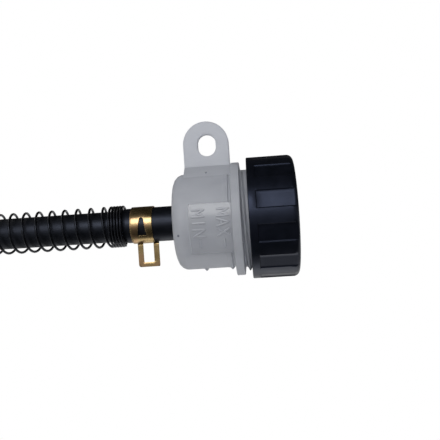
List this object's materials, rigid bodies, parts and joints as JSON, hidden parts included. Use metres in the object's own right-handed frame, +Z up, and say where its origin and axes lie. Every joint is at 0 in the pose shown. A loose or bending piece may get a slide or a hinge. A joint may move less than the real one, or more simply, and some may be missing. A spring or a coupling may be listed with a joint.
{
  "type": "brake fluid reservoir",
  "caption": "Translucent cup with a bolt ear, black fluted screw cap over a rubber diaphragm, and a spring-guarded hose held on the floor spigot by band clamps.",
  "frame": {"origin": "middle of the ear's bolt slot, on the ear's flat back face", "axes": "+Z up the cup's axis towards the cap, +Y out of the ear's back face into whatever it is bolted to, +X from the slot towards the cup"},
  "size_m": [0.0571, 0.043, 0.2726],
  "materials": {
    "cup": "translucent natural nylon, moulded, satin",
    "cap": "black moulded plastic, satin",
    "plate": "black moulded plastic, matte",
    "diaphragm": "black moulded rubber",
    "hose": "black extruded rubber, satin",
    "guard": "spring wire, black",
    "clamp": "spring steel strip, yellow zinc plated"
  },
  "bodies": {
    "reservoir": {"reservoir_body": "cup", "diaphragm": "diaphragm", "hose": "hose"},
    "set_plate": {"diaphragm_plate": "plate"},
    "cap": {"cap": "cap"},
    "upper_clamp": {"clamp_upper": "clamp"},
    "lower_clamp": {"clamp_lower": "clamp", "hose_guard": "guard"}
  },
  "joints": [
    {"name": "cap_lift", "type": "slide", "parent": "reservoir", "child": "set_plate", "axis": [0, 0, 1], "range_m": [0, 0.0075]},
    {"name": "cap_turn", "type": "hinge", "parent": "set_plate", "child": "cap", "pos_m": [0.027, -0.0015, 0.02], "axis": [0, 0, 1], "range_deg": [0, 900]},
    {"name": "upper_clamp_slide", "type": "slide", "parent": "reservoir", "child": "upper_clamp", "axis": [0, 0, -1], "range_m": [0, 0.012], "deforming": ["hose_guard"]},
    {"name": "lower_clamp_slide", "type": "slide", "parent": "reservoir", "child": "lower_clamp", "axis": [0, 0, -1], "range_m": [0, 0.006]}
  ],
  "couplings": [
    {"joint": "cap_lift", "follows": "cap_turn", "m_per_rad": 0.00047746}
  ]
}
